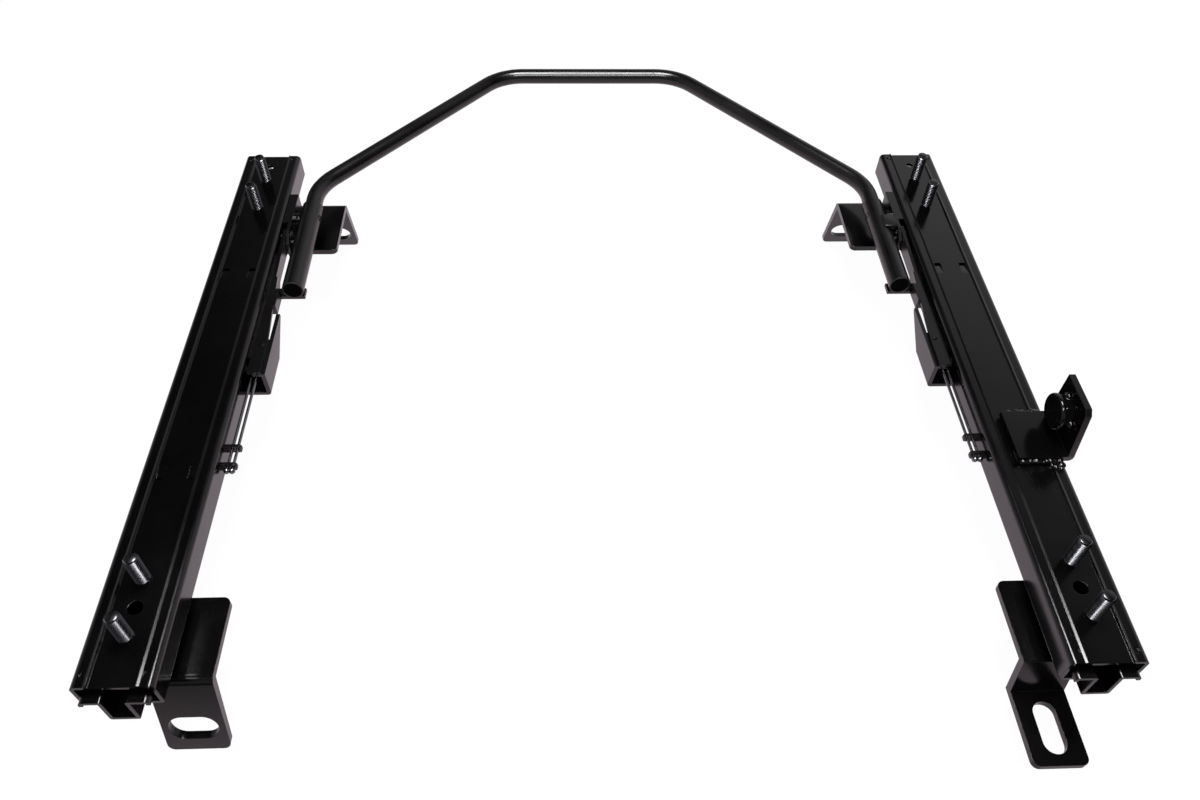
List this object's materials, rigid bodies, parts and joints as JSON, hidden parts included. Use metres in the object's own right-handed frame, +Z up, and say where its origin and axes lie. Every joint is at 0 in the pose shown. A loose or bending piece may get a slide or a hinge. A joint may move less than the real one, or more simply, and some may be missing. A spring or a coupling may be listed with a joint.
{
  "type": "car seat slide rail pair",
  "caption": "Pair of low vehicle seat slide rails with seat studs, bent feet, a belt anchor bracket and a towel-bar release handle.",
  "frame": {"origin": "middle of the rectangle of the inner seat studs, on the face that the seat frame rests on", "axes": "+X to the right along the handle's bar, +Y along the rails to the handle's bar, +Z up"},
  "size_m": [0.528, 0.5826, 0.1125],
  "materials": {
    "rail_coat": "gloss black coat",
    "latch_coat": "satin black coat",
    "handle_coat": "gloss black coat",
    "stud_black": "black oxide",
    "fastener_black": "black zinc",
    "spring_wire": "oiled spring wire",
    "cage_strip": "greased strip",
    "ball_steel": "polished"
  },
  "bodies": {
    "base": {"lower_rail_left": "rail_coat", "lower_rail_right": "rail_coat", "front_foot_left": "rail_coat", "front_foot_right": "rail_coat", "rear_foot_left": "rail_coat", "rear_foot_right": "rail_coat", "foot_rivets_left": "fastener_black", "foot_rivets_right": "fastener_black"},
    "ball_cages": {"ball_cage_inner_left": "cage_strip", "ball_cage_inner_right": "cage_strip", "ball_cage_outer_left": "cage_strip", "ball_cage_outer_right": "cage_strip", "slide_balls_inner_left": "ball_steel", "slide_balls_inner_right": "ball_steel", "slide_balls_outer_left": "ball_steel", "slide_balls_outer_right": "ball_steel"},
    "seat_slides": {"upper_rail_left": "rail_coat", "upper_rail_right": "rail_coat", "seat_studs_left": "stud_black", "seat_studs_right": "stud_black", "latch_bracket_left": "latch_coat", "latch_bracket_right": "latch_coat", "lever_pivot_left": "fastener_black", "lever_pivot_right": "fastener_black", "handle_pivot_left": "fastener_black", "handle_pivot_right": "fastener_black", "spring_ears_left": "latch_coat", "spring_ears_right": "latch_coat", "lever_spring_left": "spring_wire", "lever_spring_right": "spring_wire", "belt_anchor_bracket": "rail_coat", "belt_anchor_nut": "fastener_black"},
    "release_handle": {"handle_bar": "handle_coat", "handle_sleeve_left": "handle_coat", "handle_sleeve_right": "handle_coat"},
    "left_lever": {"lock_lever_left": "latch_coat", "lock_claw_left": "latch_coat", "lever_rivet_left": "fastener_black"},
    "right_lever": {"lock_lever_right": "latch_coat", "lock_claw_right": "latch_coat", "lever_rivet_right": "fastener_black"}
  },
  "joints": [
    {"name": "seat_slide", "type": "slide", "parent": "base", "child": "seat_slides", "axis": [0, 1, 0], "range_m": [-0.1, 0.1]},
    {"name": "cage_slide", "type": "slide", "parent": "base", "child": "ball_cages", "axis": [0, 1, 0], "range_m": [-0.05, 0.05]},
    {"name": "handle_lift", "type": "hinge", "parent": "seat_slides", "child": "release_handle", "pos_m": [0, 0.147, -0.0075], "axis": [1, 0, 0], "range_deg": [-1.55, 2]},
    {"name": "left_lever_tilt", "type": "hinge", "parent": "seat_slides", "child": "left_lever", "pos_m": [-0.2195, 0.128, -0.0075], "axis": [1, 0, 0], "range_deg": [-2.2, 2.75], "deforming": ["lever_spring_left"]},
    {"name": "right_lever_tilt", "type": "hinge", "parent": "seat_slides", "child": "right_lever", "pos_m": [0.2195, 0.128, -0.0075], "axis": [1, 0, 0], "range_deg": [-2.2, 2.75], "deforming": ["lever_spring_right"]}
  ],
  "couplings": [
    {"joint": "cage_slide", "follows": "seat_slide", "ratio": 0.5},
    {"joint": "left_lever_tilt", "follows": "handle_lift", "ratio": 1.358},
    {"joint": "right_lever_tilt", "follows": "handle_lift", "ratio": 1.358}
  ]
}
